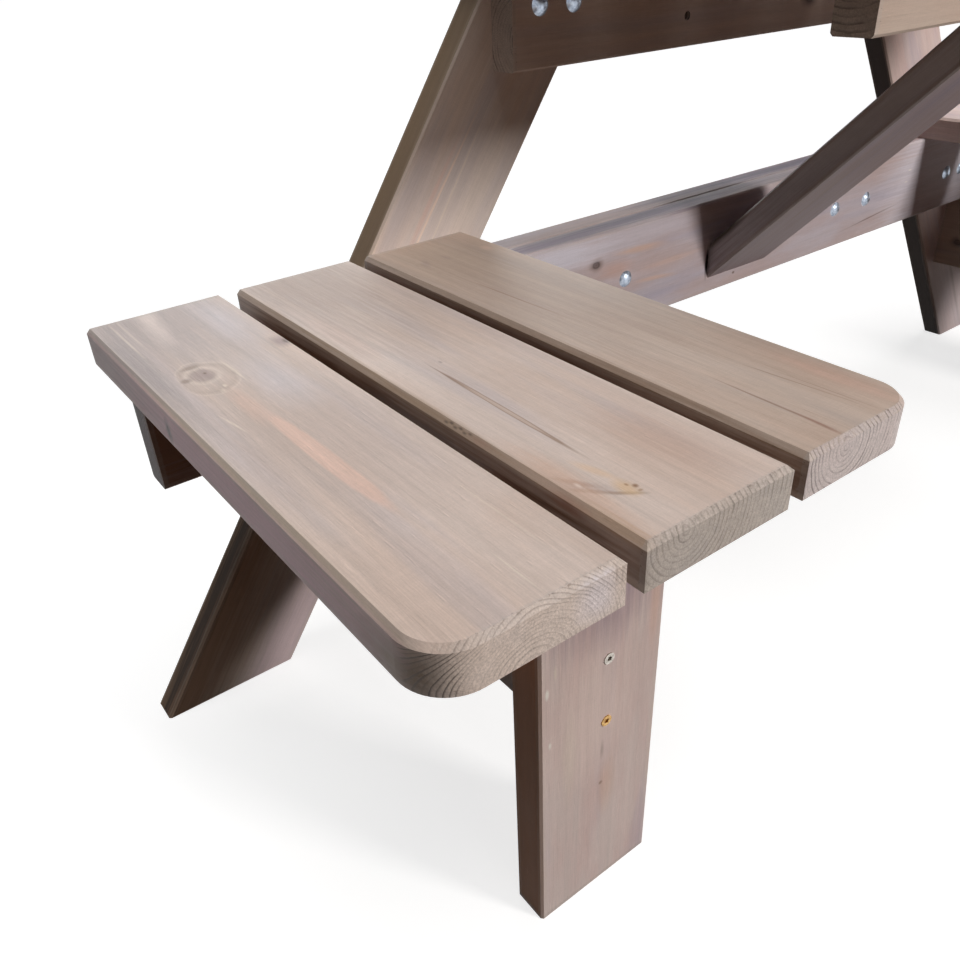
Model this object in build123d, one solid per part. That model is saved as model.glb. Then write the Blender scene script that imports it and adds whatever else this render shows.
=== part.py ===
from build123d import *
import math
import os

os.makedirs("parts", exist_ok=True)

# All sizes in millimetres. While modelling, X runs from the wall outward (wall plane at X = 0),
# Y runs along the wall (0 in the middle of the table) and Z up (floor at 0).

# Boards: every wooden piece is cut from the same planed stock, and one is ripped narrower
BOARD_W = 120.0
BOARD_T = 32.0
EASE = 2.0               # small chamfer on the long edges of beams, legs and posts
PLANK_CHAMFER = 3.5      # chamfer around the top of a plank
PLANK_UNDER = 1.2        # broken edge around the underside of a plank
PLANK_GAP = 14.0
CORNER_R = 30.0          # rounded outer corners of seats and tabletop

# Overall layout
SEAT_TOP = 440.0
TABLE_TOP = 740.0
SEAT_PLANKS = 3
TOP_PLANKS = 6
SEAT_OUTER = 810.0       # outer edge of a seat from the middle of the table
SEAT_LENGTH = 508.0      # seat plank, from the front of the legs outward
POST_OVERHANG = 86.0     # seat planks beyond the front of the post
BEAM_INSET = 20.0        # end of a beam inside the outermost plank edge

# Legs
FOOT_OUT = 34.0          # outer toe of a foot beyond the seat's outer edge
LEG_HEAD_INSET = 47.0    # outer edge of a leg's head inside the tabletop's outer edge
LEDGER_GAP = 3.0         # gap between a ledger's end and the leg beside it

# Supports near the free ends
SEAT_BATTEN_LENGTH = 244.0
TOP_BATTEN_BACK = 400.0  # wall-side face of the tabletop's front batten
TOP_BATTEN_DEPTH = 72.0  # that batten is ripped narrower than the other boards
BRACE_TOE = 20.0         # lowest corner of the brace above the seat beam's underside
BRACE_HEAD_DROP = 19.0   # highest corner of the brace below the tabletop's underside

# Carriage bolts M8 with washers and nuts
BOLT_R = 4.0
BOLT_LENGTH = 60.0
BOLT_BEVEL = 1.0
BOLT_HOLE_R = 4.5
BOLT_HEAD_R = 10.0
BOLT_DOME = 5.0
NECK_SIDE = 8.0
NECK_LENGTH = 5.0
NECK_CLEAR = 0.1
NUT_FLATS = 13.0
NUT_HEIGHT = 6.5
WASHER_R = 8.0
WASHER_HOLE_R = 4.2
WASHER_T = 1.6
THREAD_CLEAR = 0.05
NUT_RECESS_R = 11.0
NUT_RECESS_DEPTH = 13.0
BOLT_DROP = 64.0         # bolt line below the top of its beam
LEG_BOLT_PITCH = 43.0    # two bolts side by side in each leg
LEDGER_BOLT_Y = (210.0, 286.0)

# Wood screws, 5 mm with a six-lobe countersunk head
SCREW_R = 2.5
SCREW_HEAD_R = 4.9
SCREW_RIM = 0.8
SCREW_TIP = 5.0
SCREW_POINT_R = 0.5
SCREW_CLEAR = 0.1
LOBES = 6
LOBE_R = 0.75
LOBE_CENTRE_R = 1.55
LOBE_DEPTH = 2.2
SHORT_SCREW = 60.0
MID_SCREW = 80.0
LONG_SCREW = 90.0
POST_SCREW_PITCH = 64.0
POST_SCREW_SHIFT = 5.0   # post screws sit a little off the rail's middle, towards the table
POST_SCREW_PROUD = 0.8
BATTEN_SCREW_PITCH = 60.0
PLANK_BORE_R = 5.5       # deep bores under the planks, so that no screw shows from above
PLANK_SCREW_GRIP = 36.0  # support left between the end of such a bore and the plank
INNER_SCREW_PITCH = 70.0       # two screws side by side in a seat's inner plank
OUTER_SEAT_SCREW_SHIFT = 41.0  # screw in a seat's outer plank, from its middle towards the seat's
OUTER_TOP_SCREW_SHIFT = 18.0   # screw in the tabletop's outer plank, from its middle inward
BRACE_SCREW_PITCH = 60.0
BRACE_SCREW_EDGE = 12.0        # brace screws from the far corner of its end, where its wood is deepest

# Holes for wall fixings, through the top beam and the ledger behind it
WALL_HOLE_R = 4.5
WALL_HOLE_PITCH_Y = 268.0
WALL_HOLE_PITCH_Z = 60.0

# Positions that follow from the sizes above
FOOT_Y = SEAT_OUTER + FOOT_OUT
BEAM_BACK = BOARD_T
BEAM_FRONT = 2 * BOARD_T
DEPTH = BEAM_BACK + SEAT_LENGTH
SEAT_UNDER = SEAT_TOP - BOARD_T
TABLE_UNDER = TABLE_TOP - BOARD_T
SEAT_BEAM_LOW = SEAT_UNDER - BOARD_W
TOP_BEAM_LOW = TABLE_UNDER - BOARD_W
SEAT_WIDTH = SEAT_PLANKS * BOARD_W + (SEAT_PLANKS - 1) * PLANK_GAP
SEAT_MID = SEAT_OUTER - SEAT_WIDTH / 2
TABLE_WIDTH = TOP_PLANKS * BOARD_W + (TOP_PLANKS - 1) * PLANK_GAP
LEG_LEAN = FOOT_Y - (TABLE_WIDTH / 2 - LEG_HEAD_INSET)
LEG_ANGLE = math.atan2(LEG_LEAN, TABLE_UNDER)
LEG_CUT = BOARD_W / math.cos(LEG_ANGLE)
POST_FRONT = DEPTH - POST_OVERHANG
POST_BACK = POST_FRONT - BOARD_T
RAIL_LOW = SEAT_BEAM_LOW - BOARD_W
RAIL_MID = SEAT_BEAM_LOW - BOARD_W / 2
TOP_BATTEN_FRONT = TOP_BATTEN_BACK + BOARD_T
BRACE_LOW = SEAT_BEAM_LOW + BRACE_TOE
BRACE_HIGH = TABLE_UNDER - BRACE_HEAD_DROP
BRACE_RUN = TOP_BATTEN_BACK - BEAM_FRONT
BRACE_HEIGHT = BRACE_HIGH - BRACE_LOW
BRACE_SPAN = math.hypot(BRACE_RUN, BRACE_HEIGHT)
BRACE_ANGLE = math.acos(BOARD_T / BRACE_SPAN) - math.atan2(BRACE_RUN, BRACE_HEIGHT)
BRACE_CUT = BOARD_T / math.cos(BRACE_ANGLE)
SIDES = (-1, 1)


def plank_centres(count, middle):
    """Y of the planks of a seat or top, from -Y to +Y."""
    pitch = BOARD_W + PLANK_GAP
    return [middle + (i - (count - 1) / 2) * pitch for i in range(count)]


def leg_outer(z):
    """Distance of a leg's outer edge from the middle of the table at height z."""
    return FOOT_Y - z * math.tan(LEG_ANGLE)


def leg_middle(z):
    return leg_outer(z) - LEG_CUT / 2


def leg_inner(z):
    return leg_outer(z) - LEG_CUT


def board(x_range, y_range, z_range):
    """Straight board with its four long edges eased."""
    ranges = (x_range, y_range, z_range)
    size = [high - low for low, high in ranges]
    middle = [(high + low) / 2 for low, high in ranges]
    blank = Pos(*middle) * Box(*size)
    grain = (Axis.X, Axis.Y, Axis.Z)[size.index(max(size))]
    return chamfer(blank.edges().filter_by(grain), EASE)


def cut_board(plane, corners, direction, thickness):
    """Board with angled ends: its outline extruded, and its four longest edges eased."""
    blank = extrude(plane * Polygon(*corners, align=None), amount=thickness, dir=direction)
    long_edges = blank.edges().sort_by(SortBy.LENGTH)[-4:]
    return chamfer(long_edges, EASE)


def plank(x_range, y_middle, z_top, rounded_side):
    """Seat or tabletop plank; rounded_side is -1 or +1 for an outer plank, 0 for an inner one."""
    length = x_range[1] - x_range[0]
    outline = Rectangle(length, BOARD_W)
    if rounded_side:
        free_end = outline.vertices().sort_by(Axis.X)[-2:].sort_by(Axis.Y)
        outline = fillet(free_end[-1 if rounded_side > 0 else 0], CORNER_R)
    blank = extrude(outline, amount=BOARD_T, dir=(0, 0, 1))
    top_edges = blank.faces().sort_by(Axis.Z)[-1].edges().sort_by(Axis.X)[1:]
    blank = chamfer(top_edges, PLANK_CHAMFER)
    under_edges = blank.faces().sort_by(Axis.Z)[0].edges().sort_by(Axis.X)[1:]
    blank = chamfer(under_edges, PLANK_UNDER)
    return Pos((x_range[0] + x_range[1]) / 2, y_middle, z_top - BOARD_T) * blank


def leg(side):
    corners = [
        (side * leg_outer(0), 0),
        (side * leg_inner(0), 0),
        (side * leg_inner(TABLE_UNDER), TABLE_UNDER),
        (side * leg_outer(TABLE_UNDER), TABLE_UNDER),
    ]
    return cut_board(Plane.YZ, corners, (1, 0, 0), BOARD_T)


def ledger(z_low):
    """Board between the legs, its ends parallel to them."""
    z_high = z_low + BOARD_W
    gap = LEDGER_GAP / math.cos(LEG_ANGLE)
    low = leg_inner(z_low) - gap
    high = leg_inner(z_high) - gap
    corners = [(-low, z_low), (low, z_low), (high, z_high), (-high, z_high)]
    return cut_board(Plane.YZ, corners, (1, 0, 0), BOARD_T)


def brace_board():
    """Flat board from the seat beam to the tabletop's batten, both ends cut upright."""
    corners = [
        (BEAM_FRONT, BRACE_LOW),
        (TOP_BATTEN_BACK, BRACE_HIGH - BRACE_CUT),
        (TOP_BATTEN_BACK, BRACE_HIGH),
        (BEAM_FRONT, BRACE_LOW + BRACE_CUT),
    ]
    blank = cut_board(Plane.XZ, corners, (0, 1, 0), BOARD_W)
    return Pos(0, -BOARD_W / 2, 0) * blank


# Fasteners are drawn along +X, head at X = 0, and then turned and placed
TOWARDS_WALL = Rot(0, 0, 180)
OUTWARD = Rot(0, 0, 0)
UPWARD = Rot(0, -90, 0)


def turned(points):
    """Solid turned about the X axis from (x, radius) points."""
    return revolve(make_face(Polyline(*points, close=True)), Axis.X)


def wood_screw(length, proud):
    seat = SCREW_RIM - proud
    body = turned([
        (-proud, 0),
        (-proud, SCREW_HEAD_R),
        (seat, SCREW_HEAD_R),
        (seat + SCREW_HEAD_R - SCREW_R, SCREW_R),
        (length - SCREW_TIP, SCREW_R),
        (length, SCREW_POINT_R),
        (length, 0),
    ])
    lobes = Circle(LOBE_CENTRE_R)
    for lobe in PolarLocations(LOBE_CENTRE_R, LOBES):
        lobes += lobe * Circle(LOBE_R)
    recess = extrude(Plane.YZ.offset(-proud) * lobes, amount=LOBE_DEPTH, dir=(1, 0, 0))
    return body - recess


def screw_hole(length, proud, bore):
    """Hole of a wood screw: its cone is the head's cone, the rest is larger by the clearance."""
    seat = SCREW_RIM - proud
    wide = SCREW_HEAD_R + SCREW_CLEAR
    narrow = SCREW_R + SCREW_CLEAR
    hole = turned([
        (-2 * SCREW_RIM, 0),
        (-2 * SCREW_RIM, wide),
        (seat - SCREW_CLEAR, wide),
        (seat + SCREW_HEAD_R - narrow, narrow),
        (length + SCREW_CLEAR, narrow),
        (length + SCREW_CLEAR, 0),
    ])
    if bore:
        hole += turned([(-bore, 0), (-bore, PLANK_BORE_R), (0, PLANK_BORE_R), (0, 0)])
    return hole


def carriage_bolt():
    ball_r = (BOLT_HEAD_R ** 2 + BOLT_DOME ** 2) / (2 * BOLT_DOME)
    outside = Pos(-ball_r, 0, 0) * Box(2 * ball_r, 2 * ball_r, 2 * ball_r)
    dome = (Pos(ball_r - BOLT_DOME, 0, 0) * Sphere(ball_r)) & outside
    neck = Pos(NECK_LENGTH / 2, 0, 0) * Box(NECK_LENGTH, NECK_SIDE, NECK_SIDE)
    shank = turned([
        (0, 0),
        (0, BOLT_R),
        (BOLT_LENGTH - BOLT_BEVEL, BOLT_R),
        (BOLT_LENGTH, BOLT_R - BOLT_BEVEL),
        (BOLT_LENGTH, 0),
    ])
    return dome + neck + shank


def bolt_hole():
    """Through hole of a bolt in its beam and in the board behind, with neck pocket and nut recess."""
    grip = BEAM_FRONT
    side = NECK_SIDE + 2 * NECK_CLEAR
    pocket = Pos(NECK_LENGTH / 2, 0, 0) * Box(NECK_LENGTH + 2 * NECK_CLEAR, side, side)
    through = turned([(0, 0), (0, BOLT_HOLE_R), (grip, BOLT_HOLE_R), (grip, 0)])
    nut_floor = grip - NUT_RECESS_DEPTH
    recess = turned([(nut_floor, 0), (nut_floor, NUT_RECESS_R), (grip, NUT_RECESS_R), (grip, 0)])
    return pocket + through + recess


def washer():
    start = BEAM_FRONT - NUT_RECESS_DEPTH
    return turned([
        (start, WASHER_HOLE_R),
        (start, WASHER_R),
        (start + WASHER_T, WASHER_R),
        (start + WASHER_T, WASHER_HOLE_R),
    ])


def nut():
    start = BEAM_FRONT - NUT_RECESS_DEPTH + WASHER_T
    flats = RegularPolygon(NUT_FLATS / 2, 6, major_radius=False)
    profile = flats - Circle(BOLT_R + THREAD_CLEAR)
    return extrude(Plane.YZ.offset(start) * profile, amount=NUT_HEIGHT, dir=(1, 0, 0))


def placed(places, shape):
    """Copies of one shape at all its places."""
    return [place * shape for place in places]


def bored(blank, cutters):
    """A board with the holes of the fasteners that meet it."""
    for cutter in cutters:
        blank -= cutter
    return blank


# Places of the bolts: legs to seat beam, ledger to seat beam, legs to top beam
SEAT_BOLT_Z = SEAT_UNDER - BOLT_DROP
TOP_BOLT_Z = TABLE_UNDER - BOLT_DROP


def bolt_places(distances, z):
    return [Pos(BEAM_FRONT, side * y, z) * TOWARDS_WALL for side in SIDES for y in distances]


def leg_bolt_y(z):
    return (leg_middle(z) - LEG_BOLT_PITCH / 2, leg_middle(z) + LEG_BOLT_PITCH / 2)


seat_leg_bolts = bolt_places(leg_bolt_y(SEAT_BOLT_Z), SEAT_BOLT_Z)
seat_ledger_bolts = bolt_places(LEDGER_BOLT_Y, SEAT_BOLT_Z)
top_leg_bolts = bolt_places(leg_bolt_y(TOP_BOLT_Z), TOP_BOLT_Z)
all_bolts = seat_leg_bolts + seat_ledger_bolts + top_leg_bolts

# Places of the screws under the planks, at both ends of every plank
SEAT_BATTEN_X = POST_BACK - BOARD_T / 2
BEAM_X = BEAM_BACK + BOARD_T / 2
TOP_BATTEN_X = TOP_BATTEN_BACK + BOARD_T / 2
top_centres = plank_centres(TOP_PLANKS, 0)


def screw_line(centres, outer_shift, inner_offsets):
    """Y of the screws along one support: one in each outer plank, and those of the inner planks."""
    inner = [y + offset for y in centres[1:-1] for offset in inner_offsets]
    return [centres[0] + outer_shift] + inner + [centres[-1] - outer_shift]


top_screw_y = screw_line(top_centres, OUTER_TOP_SCREW_SHIFT, (0,))


def plank_screw_places(x, y_values, plank_under):
    return [Pos(x, y, plank_under - PLANK_SCREW_GRIP) * UPWARD for y in y_values]


def seat_screw_y(side):
    centres = plank_centres(SEAT_PLANKS, side * SEAT_MID)
    inner_offsets = (-INNER_SCREW_PITCH / 2, INNER_SCREW_PITCH / 2)
    return screw_line(centres, OUTER_SEAT_SCREW_SHIFT, inner_offsets)


seat_beam_screws = [
    place for side in SIDES for place in plank_screw_places(BEAM_X, seat_screw_y(side), SEAT_UNDER)
]
seat_batten_screws = {
    side: plank_screw_places(SEAT_BATTEN_X, seat_screw_y(side), SEAT_UNDER) for side in SIDES
}
top_beam_screws = plank_screw_places(BEAM_X, top_screw_y, TABLE_UNDER)
top_batten_screws = plank_screw_places(TOP_BATTEN_X, top_screw_y, TABLE_UNDER)

# Places of the other screws
RAIL_SCREW_Z = (RAIL_MID + POST_SCREW_PITCH / 2, RAIL_MID - POST_SCREW_PITCH / 2)
BATTEN_SCREW_Z = SEAT_UNDER - BOARD_W / 2


def post_screw_place(side, z):
    return Pos(POST_FRONT, side * (SEAT_MID - POST_SCREW_SHIFT), z) * TOWARDS_WALL


def batten_screw_places(side):
    offsets = (-BATTEN_SCREW_PITCH / 2, BATTEN_SCREW_PITCH / 2)
    return [Pos(POST_FRONT, side * SEAT_MID + y, BATTEN_SCREW_Z) * TOWARDS_WALL for y in offsets]


def rail_screw_places(side):
    return [Pos(0, side * SEAT_MID, z) * OUTWARD for z in RAIL_SCREW_Z]


brace_screw_y = (-BRACE_SCREW_PITCH / 2, BRACE_SCREW_PITCH / 2)
brace_foot_z = BRACE_LOW + BRACE_CUT - BRACE_SCREW_EDGE
brace_foot_places = [Pos(0, y, brace_foot_z) * OUTWARD for y in brace_screw_y]
brace_head_z = BRACE_HIGH - BRACE_CUT + BRACE_SCREW_EDGE
brace_head_places = [Pos(TOP_BATTEN_FRONT, y, brace_head_z) * TOWARDS_WALL for y in brace_screw_y]

# Cutters, one shape per kind of fastener
bolt_cut = bolt_hole()
plank_cut = screw_hole(SHORT_SCREW, 0, BOARD_W)
short_cut = screw_hole(SHORT_SCREW, 0, 0)
mid_cut = screw_hole(MID_SCREW, 0, 0)
post_cut = screw_hole(MID_SCREW, POST_SCREW_PROUD, 0)
long_cut = screw_hole(LONG_SCREW, 0, 0)

wall_cut = turned([(0, 0), (0, WALL_HOLE_R), (BEAM_FRONT, WALL_HOLE_R), (BEAM_FRONT, 0)])
wall_places = [
    Pos(0, side * WALL_HOLE_PITCH_Y / 2, TOP_BEAM_LOW + BOARD_W / 2 + step * WALL_HOLE_PITCH_Z / 2)
    for side in SIDES
    for step in SIDES
]
wall_holes = placed(wall_places, wall_cut)

parts = {}

# Frame at the wall
beam_half = SEAT_OUTER - BEAM_INSET
top_half = TABLE_WIDTH / 2 - BEAM_INSET
beam_x = (BEAM_BACK, BEAM_FRONT)
seat_beam = board(beam_x, (-beam_half, beam_half), (SEAT_BEAM_LOW, SEAT_UNDER))
parts["seat_beam"] = bored(
    seat_beam,
    placed(seat_leg_bolts + seat_ledger_bolts, bolt_cut)
    + placed(seat_beam_screws, plank_cut)
    + placed(brace_foot_places, long_cut),
)
parts["seat_ledger"] = bored(
    ledger(SEAT_BEAM_LOW),
    placed(seat_ledger_bolts, bolt_cut) + placed(brace_foot_places, long_cut),
)
top_beam = board(beam_x, (-top_half, top_half), (TOP_BEAM_LOW, TABLE_UNDER))
parts["top_beam"] = bored(
    top_beam,
    placed(top_leg_bolts, bolt_cut) + placed(top_beam_screws, plank_cut) + wall_holes,
)
parts["top_ledger"] = bored(ledger(TOP_BEAM_LOW), wall_holes)
batten_z = (TABLE_UNDER - TOP_BATTEN_DEPTH, TABLE_UNDER)
top_batten = board((TOP_BATTEN_BACK, TOP_BATTEN_FRONT), (-top_half, top_half), batten_z)
parts["top_batten"] = bored(
    top_batten,
    placed(top_batten_screws, plank_cut) + placed(brace_head_places, short_cut),
)
parts["brace"] = bored(
    brace_board(),
    placed(brace_foot_places, long_cut) + placed(brace_head_places, short_cut),
)

# Tabletop
top_places = top_beam_screws + top_batten_screws
for number, y in enumerate(top_centres, start=1):
    outer = -1 if number == 1 else 1 if number == TOP_PLANKS else 0
    blank = plank((0, DEPTH), y, TABLE_TOP, outer)
    near = [place for place in top_places if abs(place.position.Y - y) < BOARD_W / 2]
    parts[f"top_plank_{number}"] = bored(blank, placed(near, plank_cut))

# Legs and seats, left (-Y) and right (+Y); plank 1 is the outermost of its seat
for side, name in zip(SIDES, ("left", "right")):
    leg_bolts = [place for place in seat_leg_bolts + top_leg_bolts if place.position.Y * side > 0]
    rail_places = rail_screw_places(side)
    batten_places = batten_screw_places(side)
    post_places = [post_screw_place(side, z) for z in RAIL_SCREW_Z]
    parts[f"leg_{name}"] = bored(leg(side), placed(leg_bolts, bolt_cut) + placed(rail_places, mid_cut))
    across = (side * SEAT_MID - BOARD_W / 2, side * SEAT_MID + BOARD_W / 2)
    post = board((POST_BACK, POST_FRONT), across, (0, SEAT_UNDER))
    parts[f"seat_{name}_post"] = bored(post, placed(post_places, post_cut) + placed(batten_places, short_cut))
    thin = (side * SEAT_MID - BOARD_T / 2, side * SEAT_MID + BOARD_T / 2)
    rail = board((BEAM_BACK, POST_BACK), thin, (RAIL_LOW, SEAT_BEAM_LOW))
    parts[f"seat_{name}_rail"] = bored(rail, placed(post_places, post_cut) + placed(rail_places, mid_cut))
    batten_y = (side * SEAT_MID - SEAT_BATTEN_LENGTH / 2, side * SEAT_MID + SEAT_BATTEN_LENGTH / 2)
    batten = board((POST_BACK - BOARD_T, POST_BACK), batten_y, (SEAT_BEAM_LOW, SEAT_UNDER))
    parts[f"seat_{name}_batten"] = bored(
        batten,
        placed(seat_batten_screws[side], plank_cut) + placed(batten_places, short_cut),
    )
    seat_places = seat_beam_screws + seat_batten_screws[side]
    centres = sorted(plank_centres(SEAT_PLANKS, side * SEAT_MID), key=abs, reverse=True)
    for number, y in enumerate(centres, start=1):
        outer = side if number == 1 else -side if number == SEAT_PLANKS else 0
        blank = plank((BEAM_BACK, DEPTH), y, SEAT_TOP, outer)
        near = [place for place in seat_places if abs(place.position.Y - y) < BOARD_W / 2]
        parts[f"seat_{name}_plank_{number}"] = bored(blank, placed(near, plank_cut))

# Fasteners, one group per kind
short_screw = wood_screw(SHORT_SCREW, 0)
mid_screw = wood_screw(MID_SCREW, 0)
post_screw = wood_screw(MID_SCREW, POST_SCREW_PROUD)
groups = {
    "carriage_bolts": placed(all_bolts, carriage_bolt()),
    "bolt_washers": placed(all_bolts, washer()),
    "bolt_nuts": placed(all_bolts, nut()),
    "plank_screws": placed(
        seat_beam_screws + seat_batten_screws[-1] + seat_batten_screws[1] + top_places, short_screw
    ),
    "batten_screws": placed(batten_screw_places(-1) + batten_screw_places(1), short_screw),
    "rail_screws": placed(rail_screw_places(-1) + rail_screw_places(1), mid_screw),
    "post_screws_zinc": placed([post_screw_place(side, RAIL_SCREW_Z[0]) for side in SIDES], post_screw),
    "post_screws_yellow": placed([post_screw_place(side, RAIL_SCREW_Z[1]) for side in SIDES], post_screw),
    "brace_foot_screws": placed(brace_foot_places, wood_screw(LONG_SCREW, 0)),
    "brace_head_screws": placed(brace_head_places, short_screw),
}

# The stored origin is the middle of the footprint on the floor
TO_ORIGIN = Pos(-DEPTH / 2, 0, 0)
for name, board_solid in parts.items():
    export_step(TO_ORIGIN * board_solid, f"parts/{name}.step")
for name, solids in groups.items():
    moved = [TO_ORIGIN * solid for solid in solids]
    export_step(Compound(children=moved), f"parts/{name}.step")
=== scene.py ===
import math
import random

import bpy
from mathutils import Matrix, Vector


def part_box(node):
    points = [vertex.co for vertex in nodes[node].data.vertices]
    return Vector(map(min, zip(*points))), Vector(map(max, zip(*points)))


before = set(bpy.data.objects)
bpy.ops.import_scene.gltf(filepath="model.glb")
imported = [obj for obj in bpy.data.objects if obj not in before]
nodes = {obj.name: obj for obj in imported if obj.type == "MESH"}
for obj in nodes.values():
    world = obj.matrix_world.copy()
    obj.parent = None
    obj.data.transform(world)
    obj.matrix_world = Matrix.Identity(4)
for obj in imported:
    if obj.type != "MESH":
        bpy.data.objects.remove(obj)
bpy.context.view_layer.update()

MM = 0.001

# Stock sizes of the boards
BOARD_W = 120 * MM
BOARD_T = 32 * MM
PLANK_CHAMFER = 3.5 * MM
LEG_LEAN = math.radians(35.0)
BRACE_RISE = math.radians(45.0)

# Camera, as the photograph was taken: a square picture with the lens given in its pixels
IMAGE_SIZE = 960
FOCAL_PIXELS = 870.5
SENSOR_WIDTH = 36.0
CAMERA_PLACE = Vector((0.508, -0.946, 0.706))
CAMERA_PITCH = math.radians(32.26)
CAMERA_YAW = math.radians(35.35)
CAMERA_ROLL = math.radians(-3.02)

# Studio light: a key light in front, a wide sky overhead and a low fill from the wall's side
SEAT_MIDDLE = Vector((0.0, -0.5, 0.4))
KEY_PLACE = Vector((2.4, 0.56, 1.45))
KEY_SIZE = 0.5
KEY_LEVEL = 0.66
KEY_COLOUR = (1.03, 1.0, 0.96)
SKY_PLACE = (0, 0, 3)
SKY_DIRECTION = Vector((0.14, 0.0, 0.99))
SKY_ANGLE = math.radians(42.0)
SKY_LEVEL = 0.57
SKY_COLOUR = (1.0, 0.995, 0.985)
FILL_PLACE = (-3, 0, 1)
FILL_DIRECTION = Vector((-0.85, 0.5, 0.04))
FILL_ANGLE = math.radians(50.0)
FILL_LEVEL = 0.42
FILL_COLOUR = (1.0, 1.0, 1.0)
SURROUND_LEVEL = 0.012
FLOOR_SIZE = 80.0
FLOOR_DULL = (0.075, 0.05, 0.035, 1.0)
FLOOR_PALE = (0.45, 0.45, 0.45, 1.0)
FLOOR_GLOW = 0.74
WHITE = (1.0, 1.0, 1.0, 1.0)


def srgb(red, green, blue):
    """Linear colour from the usual 0 to 255 screen values."""
    def linear(value):
        value /= 255
        return value / 12.92 if value <= 0.04045 else ((value + 0.055) / 1.055) ** 2.4
    return (linear(red), linear(green), linear(blue), 1.0)


class Graph:
    """Short names for the shader nodes that a material or the world is made of."""

    def __init__(self, owner):
        owner.use_nodes = True
        self.owner = owner
        self.tree = owner.node_tree
        self.tree.nodes.clear()

    def add(self, kind, inputs, **settings):
        node = self.tree.nodes.new(kind)
        for name, value in settings.items():
            setattr(node, name, value)
        for key, value in inputs.items():
            if isinstance(value, bpy.types.NodeSocket):
                self.tree.links.new(value, node.inputs[key])
            else:
                node.inputs[key].default_value = value
        return node

    def math(self, operation, a, b=0.0, clamp=False):
        return self.add("ShaderNodeMath", {0: a, 1: b}, operation=operation, use_clamp=clamp).outputs[0]

    def vector(self, operation, a, b=(0, 0, 0)):
        node = self.add("ShaderNodeVectorMath", {0: a, 1: b}, operation=operation)
        return node.outputs["Value" if operation in ("LENGTH", "DOT_PRODUCT") else "Vector"]

    def mix(self, factor, a, b, blend="MIX"):
        node = self.add("ShaderNodeMix", {0: factor, 6: a, 7: b}, data_type="RGBA", blend_type=blend)
        return node.outputs[2]

    def blend(self, factor, a, b):
        return self.add("ShaderNodeMix", {0: factor, 2: a, 3: b}).outputs[0]

    def remap(self, value, low, high, to_low=0.0, to_high=1.0, smooth=True):
        kind = "SMOOTHSTEP" if smooth else "LINEAR"
        inputs = {0: value, 1: low, 2: high, 3: to_low, 4: to_high}
        return self.add("ShaderNodeMapRange", inputs, interpolation_type=kind).outputs[0]

    def noise(self, vector, detail, roughness=0.5):
        inputs = {"Vector": vector, "Scale": 1.0, "Detail": detail, "Roughness": roughness}
        return self.add("ShaderNodeTexNoise", inputs).outputs["Fac"]

    def combine(self, x=0.0, y=0.0):
        return self.add("ShaderNodeCombineXYZ", {0: x, 1: y}).outputs[0]

    def ramp(self, value, stops):
        """Colour ramp from (position, colour) stops; a colour's fourth number is how much it covers."""
        node = self.add("ShaderNodeValToRGB", {0: value})
        elements = node.color_ramp.elements
        for element, (position, colour) in zip(elements, (stops[0], stops[-1])):
            element.position = position
            element.color = colour
        for position, colour in stops[1:-1]:
            elements.new(position).color = colour
        return node.outputs

    def seen(self):
        """1 for what the camera sees, also in metal and glass, and 0 for light that falls on the object."""
        path = self.add("ShaderNodeLightPath", {}).outputs
        mirrored = self.math("MAXIMUM", path["Is Glossy Ray"], path["Is Transmission Ray"])
        return self.math("MAXIMUM", path["Is Camera Ray"], mirrored)

    def finish(self, shader, output="ShaderNodeOutputMaterial"):
        self.add(output, {"Surface": shader})
        return self.owner


def covering(red, green, blue, cover):
    """A ramp colour whose fourth number is how much it covers."""
    return (*srgb(red, green, blue)[:3], cover)


# Marks in the wood, placed in millimetres from a board's corner: along it, across it and out of its face

# Half depth of a mark that goes through a board, and how far towards its rim a streak keeps its strength
THROUGH = 200.0
STREAK_CORE = 0.3

# How far a mark pushes rings aside and where it stops calming them, where 1 is its rim
SWIRL_REACH = 1.6
CALM_RANGE = (0.8, 1.2)


def mark(along, across, half_length, half_width, stops, slope=0.0, swirl=0.0, depth=0.0, half_depth=9.0,
         fibrous=True):
    """A stain, a painted light or a painted shade, with the ramp's colours from its middle (0) to its rim
    (1); swirl bends the rings round it.
    """
    return dict(place=(along, across, depth), half=(half_length, half_width, half_depth), stops=stops,
                slope=slope, swirl=swirl, fibrous=fibrous)


def streak(along, across, half_length, half_width, colour, strength, slope=0.0, depth=0.0, half_depth=9.0,
           fibrous=True):
    """A stain, a painted light or a painted shade, of one colour, thinning out towards its rim."""
    full, none = (*colour[:3], strength), (*colour[:3], 0.0)
    stops = [(0.0, full), (STREAK_CORE, full), (1.0, none)]
    return mark(along, across, half_length, half_width, stops, slope, 0.0, depth, half_depth, fibrous)


def blot(along, across, half_length, half_width, colour, strength, slope=0.0, depth=0.0, half_depth=9.0):
    """A streak with a smooth outline, not one that frays along the fibres."""
    return streak(along, across, half_length, half_width, colour, strength, slope, depth, half_depth, False)


def knot(along, across, half_length, half_width, stops, swirl=0.0):
    """A knot that goes through the whole board."""
    return mark(along, across, half_length, half_width, stops, swirl=swirl, half_depth=THROUGH, fibrous=False)


SALMON = srgb(211, 179, 163)
PINK = srgb(206, 178, 166)
CREAM = srgb(222, 208, 194)
SMUDGE = srgb(150, 134, 128)
DARK_BROWN = srgb(104, 82, 68)
BROWN_LINE = srgb(138, 114, 100)
RED_BROWN = srgb(150, 104, 88)
PURPLE_GREY = srgb(142, 130, 148)
WHITE_NICK = srgb(238, 232, 224)
EDGE_BROWN = srgb(155, 126, 99)
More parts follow.
